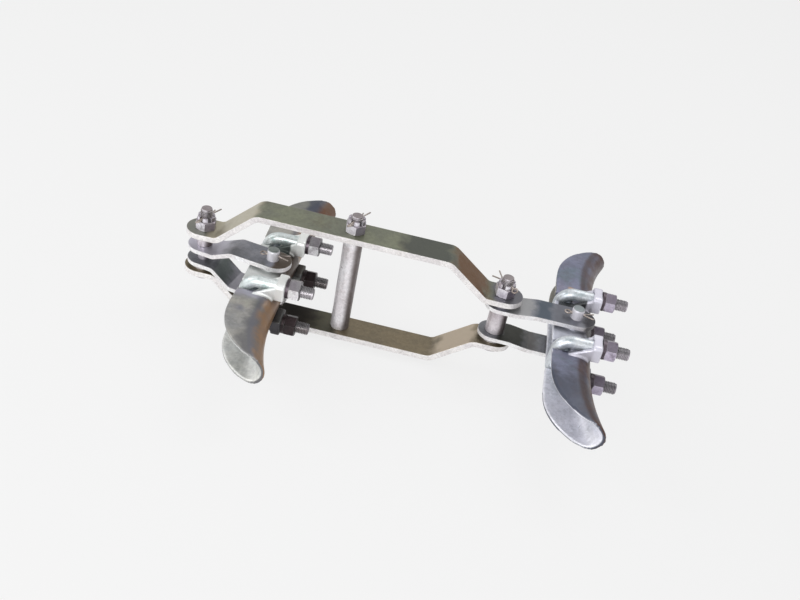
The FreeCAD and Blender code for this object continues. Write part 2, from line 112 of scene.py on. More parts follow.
# Castings are built again from cells of this many millimetres and then softened, in rounds
BODY_CELL, KEEPER_CELL = 1.25, 0.9
SOFTEN_BY, SOFTEN_ROUNDS = 0.5, 4

# Fineness of round shapes: sides of holes and rods, and steps in a thread's turn, over a bar's end, a bend,
# a bar's edge and an eased edge
HOLE_SIDES, ROD_SIDES, TURN_STEPS = 64, 40, 32
END_STEPS, BEND_STEPS, BAR_EDGE_STEPS, EASED_STEPS = 18, 5, 3, 2

# Past how many degrees an edge is sharp. The blunt angle is for easing bars and shading threads and wire.
SHARP, BLUNT = 40.0, 50.0

# Tolerances: millimetres within which places and edges are the same and points merge, the share of a normal
# that makes it point along an axis, and the metres and degrees for cleaning a copy of a solid
NEAR, SAME_EDGE, MERGE, ALONG = 0.01, 0.2, 0.003, 0.9
NODE_MERGE, NODE_FLAT = 1e-6, 0.3


def deselect():
    for obj in bpy.context.selected_objects:
        obj.select_set(False)


def pick(obj):
    """Makes one object the only selected and the active one."""
    deselect()
    obj.select_set(True)
    bpy.context.view_layer.objects.active = obj


def edit(obj):
    """Opens an object in edit mode with all of it selected."""
    pick(obj)
    bpy.ops.object.mode_set(mode="EDIT")
    bpy.ops.mesh.select_mode(type="VERT")
    bpy.ops.mesh.select_all(action="SELECT")


def done():
    bpy.ops.object.mode_set(mode="OBJECT")


def select_where(obj, kind, test):
    """Selects the faces, edges or vertices of the object in edit mode that pass a test on their place."""
    bpy.ops.mesh.select_mode(type=kind)
    bpy.ops.mesh.select_all(action="DESELECT")
    bpy.ops.object.mode_set(mode="OBJECT")
    mesh = obj.data
    if kind == "FACE":
        for face in mesh.polygons:
            face.select = test(face.center, face.normal)
    elif kind == "EDGE":
        for edge in mesh.edges:
            first, second = (mesh.vertices[i].co for i in edge.vertices)
            edge.select = test((first + second)/2, second - first)
    else:
        for vertex in mesh.vertices:
            vertex.select = test(vertex.co, vertex.normal)
    bpy.ops.object.mode_set(mode="EDIT")


def apply_all(obj):
    pick(obj)
    for modifier in list(obj.modifiers):
        bpy.ops.object.modifier_apply(modifier=modifier.name)


def crisp(obj, angle=SHARP):
    """Smooth shading over curves that keeps flat faces flat."""
    pick(obj)
    bpy.ops.object.shade_smooth_by_angle(angle=math.radians(angle))
    weighted = obj.modifiers.new("flat_faces", "WEIGHTED_NORMAL")
    weighted.keep_sharp = True
    apply_all(obj)


def round_edges(obj, width, segments, angle):
    modifier = obj.modifiers.new("edges", "BEVEL")
    modifier.width = width
    modifier.segments = segments
    modifier.limit_method = "ANGLE"
    modifier.angle_limit = math.radians(angle)
    apply_all(obj)


def settle(obj, matrix):
    """Moves the object by a matrix and puts its place into its mesh."""
    obj.matrix_world = matrix @ obj.matrix_world
    pick(obj)
    bpy.ops.object.transform_apply(location=True, rotation=True, scale=True)


def new_object(name, data):
    obj = bpy.data.objects.new(name, data)
    bpy.context.scene.collection.objects.link(obj)
    return obj


def own_copy(obj, name):
    """Copy of an object with its own mesh."""
    return new_object(name, obj.data.copy())


def node_copy(node, name):
    """Merged copy of a solid's mesh with its flat faces made whole, to be shaped further."""
    obj = own_copy(nodes[node], name)
    obj.data.materials.clear()
    edit(obj)
    bpy.ops.mesh.remove_doubles(threshold=NODE_MERGE)
    bpy.ops.mesh.dissolve_limited(angle_limit=math.radians(NODE_FLAT))
    done()
    return obj


def join(pieces, name):
    deselect()
    for piece in pieces:
        piece.select_set(True)
    bpy.context.view_layer.objects.active = pieces[0]
    bpy.ops.object.join()
    pieces[0].name = name
    return pieces[0]


def from_millimetres(at, turn=0.0, mirror=False):
    """Matrix that puts a piece made in millimetres in place, turned about Z and mirrored in Z if asked."""
    flip = Matrix.Diagonal((1, 1, -1 if mirror else 1, 1))
    place = Matrix.Translation(Vector(at)*MM) @ Matrix.Rotation(math.radians(turn), 4, "Z")
    return place @ Matrix.Scale(MM, 4) @ flip


# Flat bars and straps

def direction(points, index):
    """Slope in radians of the stretch that starts at a point of the centre line."""
    (x0, z0), (x1, z1) = points[index], points[index + 1]
    return math.atan2(z1 - z0, x1 - x0)


def drill(obj, places, radius):
    """Cuts round holes through a bar in millimetres, at places along X."""
    for x in places:
        bpy.ops.mesh.primitive_cylinder_add(vertices=HOLE_SIDES, radius=radius, depth=CUTTER_LENGTH,
                                            location=(x, 0, 0))
        cutter = bpy.context.object
        settle(cutter, Matrix())
        hole = obj.modifiers.new("hole", "BOOLEAN")
        hole.operation = "DIFFERENCE"
        hole.solver = "EXACT"
        hole.object = cutter
        apply_all(obj)
        bpy.data.objects.remove(cutter)


def flat_bar(name, points, middle, thickness, width, bend, holes, hole_r, edge):
    """Joggled flat bar in millimetres, extruded both ways from its middle, with round ends and bolt holes."""
    half_t, half_w = thickness/2, width/2
    (x0, z0), (x1, z1) = points[middle], points[middle + 1]
    bpy.ops.mesh.primitive_cube_add(size=1.0, location=((x0 + x1)/2, 0, z0),
                                    scale=(x1 - x0, width, thickness))
    obj = bpy.context.object
    obj.name = name
    settle(obj, Matrix())
    corners = []
    for index in range(1, len(points) - 1):
        before, after = direction(points, index - 1), direction(points, index)
        across = (before + after)/2
        reach = half_t/math.cos((after - before)/2)
        lean = Vector((-math.sin(across)*reach, 0, math.cos(across)*reach))
        corners.append((points[index], lean, after - before))
    for way in (1, -1):
        index = middle + 1 if way == 1 else middle
        while 0 < index < len(points) - 1:
            (x, z), lean, turn = corners[index - 1]
            step = (points[index + way][0] - x, 0, points[index + way][1] - z)
            edit(obj)
            select_where(obj, "FACE", lambda co, normal: abs(co.x - x) < NEAR and abs(normal.x) > ALONG)
            bpy.ops.mesh.extrude_region_move(TRANSFORM_OT_translate={"value": step})
            for side in (1, -1):
                select_where(obj, "VERT",
                             lambda co, normal: abs(co.x - x) < NEAR and abs(co.z - z - side*half_t) < NEAR)
                bpy.ops.transform.translate(value=(lean - Vector((0, 0, half_t)))*side)
            done()
            index += way
    edit(obj)
    tips = (points[0][0], points[-1][0])
    select_where(obj, "EDGE",
                 lambda co, run: any(abs(co.x - tip) < NEAR for tip in tips) and abs(run.z) > half_t)
    bpy.ops.mesh.bevel(offset=half_w - NEAR, segments=END_STEPS, affect="EDGES", clamp_overlap=True)
    for (x, z), lean, turn in corners:
        for side in (1, -1):
            edge_at = Vector((x, 0, z)) + lean*side
            radius = bend - side*half_t*math.copysign(1, turn)
            select_where(obj, "EDGE",
                         lambda co, run: abs(run.y) > half_w and (co - edge_at).length < SAME_EDGE)
            bpy.ops.mesh.bevel(offset=radius*math.tan(abs(turn)/2), segments=BEND_STEPS, affect="EDGES")
    bpy.ops.mesh.select_all(action="SELECT")
    bpy.ops.mesh.remove_doubles(threshold=MERGE)
    bpy.ops.mesh.normals_make_consistent(inside=False)
    done()
    drill(obj, holes, hole_r)
    round_edges(obj, edge, BAR_EDGE_STEPS, BLUNT)
    return obj


def placed_bar(obj, at, turn, mirror):
    """Puts a bar made in millimetres in its place, with its faces outwards, and shades it."""
    settle(obj, from_millimetres(at, turn, mirror))
    if mirror:
        edit(obj)
        bpy.ops.mesh.normals_make_consistent(inside=False)
        done()
    crisp(obj)


# Threads, bolts and U-bolts

def threaded_end(name, length):
    """Threaded end of a rod in millimetres, from the origin up to its chamfered tip."""
    root = THREAD_R - THREAD_DEPTH
    bpy.ops.mesh.primitive_cylinder_add(vertices=ROD_SIDES, radius=root, depth=length,
                                        location=(0, 0, length/2))
    core = bpy.context.object
    settle(core, Matrix())
    edit(core)
    select_where(core, "FACE", lambda co, normal: normal.z > ALONG)
    bpy.ops.mesh.inset(thickness=TIP_CHAMFER/2, depth=0)
    select_where(core, "EDGE",
                 lambda co, run: abs(co.z - length) < NEAR and co.xy.length > root - TIP_CHAMFER/4)
    bpy.ops.mesh.bevel(offset=TIP_CHAMFER/3, segments=EASED_STEPS, affect="EDGES")
    done()
    bpy.ops.mesh.primitive_plane_add(size=1.0, location=(root + THREAD_DEPTH/2 - RIDGE_SUNK, 0, 0),
                                     rotation=(math.radians(90), 0, 0))
    ridge = bpy.context.object
    ridge.scale = (THREAD_DEPTH + 2*RIDGE_SUNK, THREAD_PITCH*RIDGE_FOOT, 1)
    settle(ridge, Matrix())
    edit(ridge)
    select_where(ridge, "VERT", lambda co, normal: co.x > THREAD_R - THREAD_DEPTH/2)
    bpy.ops.transform.resize(value=(1, 1, RIDGE_CREST), center_override=(THREAD_R, 0, 0))
    bpy.ops.mesh.select_all(action="SELECT")
    bpy.ops.mesh.delete(type="ONLY_FACE")
    done()
    screw = ridge.modifiers.new("turn", "SCREW")
    screw.axis = "Z"
    screw.steps = screw.render_steps = TURN_STEPS
    screw.screw_offset = THREAD_PITCH
    screw.iterations = int((length - TIP_CHAMFER)/THREAD_PITCH)
    apply_all(ridge)
    edit(ridge)
    bpy.ops.mesh.fill_holes(sides=4)
    bpy.ops.mesh.select_all(action="SELECT")
    bpy.ops.mesh.normals_make_consistent(inside=False)
    done()
    return join([core, ridge], name)


def cut_copy(node, name, point, normal):
    """Copy of a solid with all past a plane cut off and the cut closed."""
    obj = node_copy(node, name)
    edit(obj)
    bpy.ops.mesh.bisect(plane_co=point, plane_no=normal, use_fill=True, clear_outer=True)
    done()
    return obj


def frame_bolt(name, thread):
    """Hexagon bolt with its thread cut at the nut's end."""
    x, tip_z = FRAME_BOLTS[name]
    start_z = tip_z - BOLT_THREAD
    head = cut_copy(name + "_bolt", name + "_bolt_threaded", (x*MM, 0, (start_z + OVERLAP)*MM), (0, 0, 1))
    round_edges(head, BOLT_HEAD_EDGE*MM, EASED_STEPS, SHARP)
    rod = own_copy(thread, name + "_thread")
    settle(rod, from_millimetres((x, 0, start_z)))
    return join([head, rod], name + "_bolt_threaded")


def u_bolt(side, row, thread):
    """U-bolt with threaded legs."""
    pivot = CLAMPS[side]
    node = f"{side}_u_bolt_{row}"
    cut_x = (pivot.x + LEG_START + OVERLAP)*MM
    parts = [cut_copy(node, node + "_threaded", (cut_x, 0, 0), (1, 0, 0))]
    y = pivot.y + (LEG_Y if row == "back" else -LEG_Y)
    for z in (pivot.z + LEG_Z, pivot.z - LEG_Z):
        rod = own_copy(thread, node + "_thread")
        settle(rod, Matrix.Rotation(math.radians(90), 4, "Y"))
        settle(rod, from_millimetres((pivot.x + LEG_START, y, z)))
        parts.append(rod)
    return join(parts, node + "_threaded")


# Castings and small hardware

def casting(node, name, cell):
    """Copy of a solid with the soft corners of a casting, built again from cells in millimetres."""
    obj = node_copy(node, name)
    remesh = obj.modifiers.new("skin", "REMESH")
    remesh.mode = "VOXEL"
    remesh.voxel_size = cell*MM
    soften = obj.modifiers.new("soften", "SMOOTH")
    soften.factor = SOFTEN_BY
    soften.iterations = SOFTEN_ROUNDS
    apply_all(obj)
    bpy.ops.object.shade_smooth()
    return obj


def eased(node, width):
    """Copy of a turned or cut solid with its sharp edges eased by a width in millimetres."""
    obj = node_copy(node, node + "_eased")
    round_edges(obj, width*MM, EASED_STEPS, SHARP)
    crisp(obj)
    return obj


def wire_piece(node):
    """Copy of a split pin, shaded as smooth wire."""
    obj = node_copy(node, node + "_wire")
    crisp(obj, BLUNT)
    return obj


# Node groups shared by the finishes

def new_group(name, inputs, outputs):
    """Node group with inputs (label, kind, value), lengths in metres, and outputs (label, kind)."""
    group = bpy.data.node_groups.new(name, "ShaderNodeTree")
    for label, kind, value in inputs:
        socket = group.interface.new_socket(name=label, in_out="INPUT", socket_type="NodeSocket" + kind)
        socket.default_value = value
    for label, kind in outputs:
        group.interface.new_socket(name=label, in_out="OUTPUT", socket_type="NodeSocket" + kind)
    return group, group.nodes.new("NodeGroupInput").outputs, group.nodes.new("NodeGroupOutput")


def add(tree, kind, **values):
    node = tree.nodes.new("ShaderNode" + kind)
    for key, value in values.items():
        setattr(node, key, value)
    return node


def feed(tree, socket, item):
    """Links an output to a socket, or sets the socket to a number or colour."""
    if isinstance(item, (int, float, tuple)):
        socket.default_value = item
    else:
        tree.links.new(item, socket)


def fill(tree, node, **items):
    """Feeds inputs of a node by their labels, written with _ for a space."""
    for label, item in items.items():
        feed(tree, node.inputs[label.replace("_", " ")], item)
    return node


def place_on_object(tree, shift=(0.0, 0.0, 0.0)):
    place = add(tree, "TexCoord").outputs["Object"]
    return fill(tree, add(tree, "Mapping"), Location=shift, Vector=place).outputs["Vector"]


def noise(tree, vector, scale, detail, roughness):
    node = add(tree, "TexNoise")
    return fill(tree, node, Vector=vector, Scale=scale, Detail=detail, Roughness=roughness).outputs["Fac"]


def remap(tree, value, low, high, to_low=0.0, to_high=1.0, kind="LINEAR"):
    node = add(tree, "MapRange", clamp=True, interpolation_type=kind)
    fill(tree, node, Value=value, From_Min=low, From_Max=high, To_Min=to_low, To_Max=to_high)
    return node.outputs["Result"]


def smooth(tree, value, low, high, to_low=0.0, to_high=1.0):
    """The same as remap, but soft at both ends."""
    return remap(tree, value, low, high, to_low, to_high, "SMOOTHSTEP")


def combine(tree, operation, first, second):
    node = add(tree, "Math", operation=operation)
    feed(tree, node.inputs[0], first)
    feed(tree, node.inputs[1], second)
    return node.outputs[0]


def product(tree, first, *others):
    for other in others:
        first = combine(tree, "MULTIPLY", first, other)
    return first


def blend(tree, mask, first, second, kind="MIX"):
    node = add(tree, "Mix", data_type="RGBA", blend_type=kind)
    feed(tree, node.inputs["Factor"], mask)
    feed(tree, node.inputs[6], first)
    feed(tree, node.inputs[7], second)
    return node.outputs[2]


def lay(tree, colour, mask, amount, over):
    """Lays another colour over a colour where a mask says, as strongly as amount."""
    return blend(tree, product(tree, mask, amount), colour, over)


def axes(tree, vector):
    return fill(tree, add(tree, "SeparateXYZ"), Vector=vector).outputs


def tone(red, green, blue):
    """Colour as it is seen on a screen, 0 to 255, made linear."""
    def linear(value):
        share = value/255
        return share/12.92 if share <= 0.04045 else ((share + 0.055)/1.055)**2.4
    return (linear(red), linear(green), linear(blue), 1.0)


# Shifts that set one noise apart from another on the same piece, and the span of most of a noise's values
SPOT_SHIFT, KEEL_NOISE_SHIFT = (3.1, 1.7, 5.3), (7.3, 2.9, 4.1)
NOISE_SPAN = (0.3, 0.7)

# Zinc: where the noise turns from one patch's tone to the other's and into spots, how crystals and specks
# shade it, how rough patches and crystals make it, and how much each stands out
PATCH_TURN, SPOT_TURN = (0.36, 0.64), (0.52, 0.68)
FACET_SHADE, SPECK_SHADE = (0.90, 1.10), (0.93, 1.07)
PATCH_ROUGHNESS, CRYSTAL_ROUGHNESS = (0.30, 0.46), (-0.04, 0.05)
PATCH_RELIEF, CRYSTAL_RELIEF = 0.6, 0.12

# Worn edges: from flat to sharp, and how the noise breaks them up. Corners: from open to closed.
EDGE_TURN, EDGE_BREAK, EDGE_SHARE = (0.995, 0.86), (0.32, 0.6), (0.25, 1.0)
CORNER_TURN = (0.9, 0.45)

# Shares of a normal from which and at which a surface faces a way, and how they turn into each other. Inward
# is a normal's share in Z times the height above the middle in metres.
BROAD_TURN, TOP_TURN, PLUS_X_TURN, KEEL_SPAN = (0.30, 0.62), (0.25, 0.9), (0.15, 0.7), 0.35
SHOULDER_RISE, SHOULDER_FALL = (-0.02, 0.2), (0.3, 0.6)
INWARD_TURN, MINUS_X_TURN = (-0.001, -0.008), (-0.15, -0.6)

# How ragged the border of a stretch is, as a share of its softness
RAGGED = 0.7


def zinc_patina_group():
    """Mottled zinc: two tones in soft patches, a third in spots, crystals and fine specks."""
    group, given, out = new_group(
        "zinc_patina",
        [("Tone", "Color", tone(150, 150, 150)), ("Second Tone", "Color", tone(120, 120, 120)),
         ("Spot Tone", "Color", tone(100, 90, 80)), ("Patch Scale", "Float", 30.0), ("Spots", "Float", 0.3),
         ("Crystal Scale", "Float", 260.0)],
        [("Color", "Color"), ("Roughness", "Float"), ("Height", "Float")])
    where = place_on_object(group)
    patches = noise(group, where, given["Patch Scale"], detail=5.0, roughness=0.6)
    colour = blend(group, smooth(group, patches, *PATCH_TURN), given["Tone"], given["Second Tone"])
    spots = noise(group, place_on_object(group, SPOT_SHIFT), given["Patch Scale"], detail=3.0, roughness=0.7)
    colour = lay(group, colour, smooth(group, spots, *SPOT_TURN), given["Spots"], given["Spot Tone"])
    crystal = fill(group, add(group, "TexVoronoi", feature="F1"), Vector=where, Scale=given["Crystal Scale"])
    shade = fill(group, add(group, "SeparateColor"), Color=crystal.outputs["Color"]).outputs
    specks = noise(group, where, scale=900.0, detail=2.0, roughness=0.6)
    grain = product(group, remap(group, shade["Red"], 0.0, 1.0, *FACET_SHADE),
                    remap(group, specks, *NOISE_SPAN, *SPECK_SHADE))
    grey = fill(group, add(group, "CombineColor"), Red=grain, Green=grain, Blue=grain)
    rough = combine(group, "ADD", remap(group, patches, *NOISE_SPAN, *PATCH_ROUGHNESS),
                    remap(group, shade["Green"], 0.0, 1.0, *CRYSTAL_ROUGHNESS))
    height = combine(group, "ADD", product(group, patches, PATCH_RELIEF),
                     product(group, shade["Blue"], CRYSTAL_RELIEF))
    fill(group, out, Color=blend(group, 1.0, colour, grey.outputs["Color"], "MULTIPLY"), Roughness=rough,
         Height=height)
    return group


def bright_edges_group():
    """Mask of the edges that handling keeps bright."""
    group, given, out = new_group("bright_edges", [("Radius", "Float", 0.0015)], [("Mask", "Float")])
    rounded = fill(group, add(group, "Bevel", samples=6), Radius=given["Radius"])
    dot = add(group, "VectorMath", operation="DOT_PRODUCT")
    feed(group, dot.inputs[0], rounded.outputs[0])
    feed(group, dot.inputs[1], add(group, "NewGeometry").outputs["Normal"])
    edges = remap(group, dot.outputs["Value"], *EDGE_TURN)
    broken = noise(group, place_on_object(group), scale=140.0, detail=4.0, roughness=0.6)
    broken = remap(group, broken, *EDGE_BREAK, *EDGE_SHARE)
    fill(group, out, Mask=product(group, edges, broken))
    return group


def corner_dirt_and_shade_group():
    """Mask of corners, where dirt collects and where shade is painted."""
    group, given, out = new_group("corner_dirt_and_shade", [("Reach", "Float", 0.006)], [("Mask", "Float")])
    shade = fill(group, add(group, "AmbientOcclusion", samples=6, only_local=True), Distance=given["Reach"])
    fill(group, out, Mask=remap(group, shade.outputs["AO"], *CORNER_TURN))
    return group


def facing_group():
    """Masks of the ways a surface faces.

    Broad is up or down, Top is up, and Plus X is to +X. Keel is a rounder share of that, Shoulder lies
    before it, and Inside is a wall that faces the middle height or a floor that faces -X.
    """
    group, given, out = new_group(
        "facing", [("Middle Z", "Float", 0.0), ("Keel Start", "Float", 0.1)],
        [(label, "Float") for label in ("Broad", "Top", "Plus X", "Keel", "Shoulder", "Inside")])
    coordinates = add(group, "TexCoord")
    normal = axes(group, coordinates.outputs["Normal"])
    upright = combine(group, "ABSOLUTE", normal["Z"], 0.0)
    for value, turn, label in ((upright, BROAD_TURN, "Broad"), (normal["Z"], TOP_TURN, "Top"),
                               (normal["X"], PLUS_X_TURN, "Plus X")):
        feed(group, out.inputs[label], smooth(group, value, *turn))
    keel_full = combine(group, "ADD", given["Keel Start"], KEEL_SPAN)
    keel = smooth(group, normal["X"], given["Keel Start"], keel_full)
    shoulder = product(group, smooth(group, normal["X"], *SHOULDER_RISE),
                       smooth(group, normal["X"], *SHOULDER_FALL, 1.0, 0.0))
    place = axes(group, coordinates.outputs["Object"])
    height = combine(group, "SUBTRACT", place["Z"], given["Middle Z"])
    inward = product(group, normal["Z"], height)
    inside = combine(group, "MAXIMUM", smooth(group, inward, *INWARD_TURN),
                     smooth(group, normal["X"], *MINUS_X_TURN))
    fill(group, out, Keel=keel, Shoulder=shoulder, Inside=inside)
    return group


def stretch_group(name, axis):
    """Mask of a stretch between two places along an axis, with a soft and slightly ragged border."""
    group, given, out = new_group(
        name, [("From", "Float", 0.0), ("To", "Float", 0.1), ("Softness", "Float", 0.01)],
        [("Mask", "Float")])
    where = place_on_object(group)
    soft = given["Softness"]
    ragged = noise(group, where, scale=60.0, detail=3.0, roughness=0.5)
    ragged = product(group, remap(group, ragged, *NOISE_SPAN, -RAGGED, RAGGED), soft)
    place = combine(group, "ADD", axes(group, where)[axis], ragged)
    rise, fall = (smooth(group, place, combine(group, "SUBTRACT", given[end], soft),
                         combine(group, "ADD", given[end], soft), *levels)
                  for end, levels in (("From", (0.0, 1.0)), ("To", (1.0, 0.0))))
    fill(group, out, Mask=product(group, rise, fall))
    return group


GROUPS = {"patina": zinc_patina_group(), "edges": bright_edges_group(), "dirt_and_shade": corner_dirt_and_shade_group(),
          "facing": facing_group(), "along_x": stretch_group("stretch_along_x", "X"),
          "along_y": stretch_group("stretch_along_y", "Y"), "along_z": stretch_group("stretch_along_z", "Z")}


def use(tree, key, **values):
    """Places a shared node group with its own values."""
    return fill(tree, add(tree, "Group", node_tree=GROUPS[key]), **values).outputs


# Finishes

# How deep the zinc's relief is, in metres
RELIEF_DEPTH = 0.0004

# How soft the border of each zone is, in millimetres, and how strongly the zone's tone covers the zinc
SOFT = {"shade_x": 7.0, "shade_y": 6.0, "middle": 5.0, "keel": 6.0, "back_tip": 12.0, "back_inside": 3.0,
        "inside": 0.8, "ear": 1.0, "trunnion": 0.8, "low_leg": 2.0, "leg": 0.6}
COVER = {"shoulder": 0.7, "middle": 0.75, "back_inside": 0.85, "ear": 0.85, "trunnion": 0.8, "part_side": 0.8,
         "leg_top": 0.85, "leg_side": 0.75, "leg": 0.9}

# Where the noise makes the keel's painted brown reflection browner, and how brown it is at least and at most
KEEL_PATCH_TURN, KEEL_PATCH_SHARE = (0.35, 0.6), (0.7, 0.98)

# Tones of painted light and shade: the sheared sides' painted highlight in patches and spots, the trunnions'
# painted highlight on the side and painted shade on top, and the threads' painted shade on top and towards +X
SHEARED_HIGHLIGHT, SHEARED_HIGHLIGHT_SPOT = tone(224, 220, 221), tone(192, 184, 182)
TRUNNION_SIDE_HIGHLIGHT, TRUNNION_TOP_SHADE = tone(226, 223, 230), tone(108, 118, 116)
LEG_TOP_SHADE, LEG_SIDE_SHADE = tone(66, 58, 66), tone(58, 50, 58)


def finish(name, metallic, bump, build):
    """Material with colour, roughness and relief from build(tree)."""
    material = bpy.data.materials.new(name)
    material.use_nodes = True
    tree = material.node_tree
    shader = next(node for node in tree.nodes if node.type == "BSDF_PRINCIPLED")
    colour, roughness, height = build(tree)
    relief = fill(tree, add(tree, "Bump"), Strength=bump, Distance=RELIEF_DEPTH, Height=height)
    fill(tree, shader, Base_Color=colour, Roughness=roughness, Metallic=metallic,
         Normal=relief.outputs["Normal"])
    return material


def zinc(tree, tones, patch_scale, spots, crystal_scale):
    """Mottled zinc in three tones: two of the patches and one of the spots."""
    first, second, spot = tones
    return use(tree, "patina", Tone=first, Second_Tone=second, Spot_Tone=spot, Patch_Scale=patch_scale,
               Spots=spots, Crystal_Scale=crystal_scale)


def worn(tree, colour, bright, amount, radius, dirt_and_shade_tone, depth, reach):
    """Lays bright worn edges, and dirt with painted shade in the corners, over a colour, with radius and
    reach in metres.
    """
    colour = lay(tree, colour, use(tree, "edges", Radius=radius)["Mask"], amount, bright)
    # Corners darken as dirt and as painted shade.
    return lay(tree, colour, use(tree, "dirt_and_shade", Reach=reach)["Mask"], depth, dirt_and_shade_tone)


def stretch(tree, group, start, stop, softness):
    """Mask of a stretch along an axis, given in millimetres."""
    return use(tree, group, From=start*MM, To=stop*MM, Softness=softness*MM)["Mask"]


def stretch_at(tree, pivot, axis, start, stop, softness):
    """Mask of a stretch along an axis, in millimetres from a clamp's pivot."""
    middle = getattr(pivot, axis)
    return stretch(tree, "along_" + axis, middle + start, middle + stop, softness)


def banded(tree, colour, bands, group="along_x"):
    """Lays bands of painted shade and light over a colour, each as (from, to, softness, tone, amount) in
    millimetres along an axis.
    """
    for start, stop, softness, band_tone, amount in bands:
        colour = lay(tree, colour, stretch(tree, group, start, stop, softness), amount, band_tone)
    return colour


def rolled_bar_finish(name, first, second, spot, painted_side_tone, bands, side_bands=()):
    """Rolled bar: broad faces with bands of painted shade and light along the length, and sheared sides
    brightened as a painted highlight.
    """
    def build(tree):
        skin = zinc(tree, (first, second, spot), patch_scale=26.0, spots=0.45, crystal_scale=330.0)
        broad = banded(tree, skin["Color"], bands)
        # The sheared sides are lighter than the broad faces as a painted highlight.
        sides = zinc(tree, (painted_side_tone, SHEARED_HIGHLIGHT, SHEARED_HIGHLIGHT_SPOT), patch_scale=40.0, spots=0.3,
                     crystal_scale=500.0)
        sides = banded(tree, sides["Color"], side_bands)
        colour = blend(tree, use(tree, "facing")["Broad"], sides, broad)
        colour = worn(tree, colour, bright=tone(228, 228, 224), amount=0.5, radius=0.0012,
                      dirt_and_shade_tone=tone(60, 54, 46), depth=0.6, reach=0.007)
        return colour, skin["Roughness"], skin["Height"]
    return finish(name, metallic=0.5, bump=0.25, build=build)


def patch_mask(tree, pivot, x_range, y_range, z_range, softness):
    """Mask of a box at a clamp's pivot, in millimetres from it."""
    return product(tree, *(stretch_at(tree, pivot, axis, *limits, softness)
                           for axis, limits in zip("xyz", (x_range, y_range, z_range))))


def casting_finish(side, tones, wing_bands, patches):
    """Galvanised casting: grey wings with painted shade, a trough lightened as painted light, a keel browned
    as a painted reflection, and its ears and trunnions with painted light and shade.
    """
    pivot = CLAMPS[side]

    def wing(tree, facing, skin):
        colour = banded(tree, skin["Color"], wing_bands, "along_y")
        start, shade_tone, amount = tones["front_shade"]
        shaded = product(tree, stretch_at(tree, pivot, "x", start, WING_DEPTH, SOFT["shade_x"]),
                         stretch_at(tree, pivot, "y", -WING_END, -EAR_Y[1], SOFT["shade_y"]))
        colour = lay(tree, colour, shaded, amount, shade_tone)
        # The shoulder's tone is painted shade.
        colour = lay(tree, colour, facing["Shoulder"], COVER["shoulder"], tones["shoulder"])
        # The middle is lightened as painted light.
        middle = stretch_at(tree, pivot, "y", -MIDDLE_Y, MIDDLE_Y, SOFT["middle"])
        colour = lay(tree, colour, middle, COVER["middle"], tones["middle"])
        # The keel is browned as a painted reflection of a brown surface, in ragged patches and darkest in the
        # middle.
        keel_patches = noise(tree, place_on_object(tree, KEEL_NOISE_SHIFT), scale=38.0, detail=5.0, roughness=0.65)
        keel_patches = combine(tree, "MAXIMUM", middle, remap(tree, keel_patches, *KEEL_PATCH_TURN, *KEEL_PATCH_SHARE))
        height = stretch_at(tree, pivot, "z", -KEEL_DOWN, KEEL_UP, SOFT["keel"])
        keel = product(tree, facing["Keel"], height, keel_patches)
        back_tip = stretch_at(tree, pivot, "y", BACK_TIP_Y, WING_END, SOFT["back_tip"])
        keel_reflection = blend(tree, back_tip, tones["keel"], tones["back_keel"])
        return blend(tree, keel, colour, blend(tree, middle, keel_reflection, tones["middle_keel"]))

    def inside(tree, facing, colour):
        # The trough's inside is lightened as painted light, and its back darkened as painted shade.
        trough = zinc(tree, tones["inside"], patch_scale=28.0, spots=0.4, crystal_scale=300.0)
        back = stretch_at(tree, pivot, "y", MIDDLE_Y, TROUGH_END, SOFT["back_inside"])
        over = lay(tree, trough["Color"], back, COVER["back_inside"], tones["back_inside"])
        height = stretch_at(tree, pivot, "z", -INSIDE_Z, INSIDE_Z, SOFT["inside"])
        return lay(tree, colour, facing["Inside"], height, over)

    def ears(tree, facing, colour):
        low, high = EAR_Y
        # Upper ears are lightened as painted light, and lower ears darkened as painted shade.
        for y_range in ((low, high), (-high, -low)):
            for name, z_range in (("ear", (EAR_Z, CLAMP_REACH)), ("low_ear", (-CLAMP_REACH, -EAR_Z))):
                mask = patch_mask(tree, pivot, (EAR_X, CLAMP_REACH), y_range, z_range, SOFT["ear"])
                colour = lay(tree, colour, mask, COVER["ear"], tones[name])
        # Patches of painted shade and painted light.
        for x_range, y_range, softness, painted_tone, amount in patches:
            mask = patch_mask(tree, pivot, x_range, y_range, (EAR_Z, CLAMP_REACH), softness)
            colour = lay(tree, colour, mask, amount, painted_tone)
        # Trunnions' free ends: a painted highlight on the side and painted shade on top.
        around = (-TRUNNION_REACH, TRUNNION_REACH)
        trunnion = patch_mask(tree, pivot, around, around, (TRUNNION_Z, CLAMP_REACH), SOFT["trunnion"])
        trunnion_light_and_shade = blend(tree, facing["Top"], TRUNNION_SIDE_HIGHLIGHT, TRUNNION_TOP_SHADE)
        return lay(tree, colour, trunnion, COVER["trunnion"], trunnion_light_and_shade)

    def build(tree):
        skin = zinc(tree, tones["skin"], patch_scale=17.0, spots=0.8, crystal_scale=240.0)
        facing = use(tree, "facing", Middle_Z=pivot.z*MM, Keel_Start=tones["keel_start"])
        colour = ears(tree, facing, inside(tree, facing, wing(tree, facing, skin)))
        colour = worn(tree, colour, bright=tone(226, 228, 226), amount=0.6, radius=0.002,
                      dirt_and_shade_tone=tone(50, 44, 42), depth=0.7, reach=0.012)
        return colour, skin["Roughness"], skin["Height"]
    return finish(side + "_casting_zinc", metallic=0.4, bump=0.5, build=build)


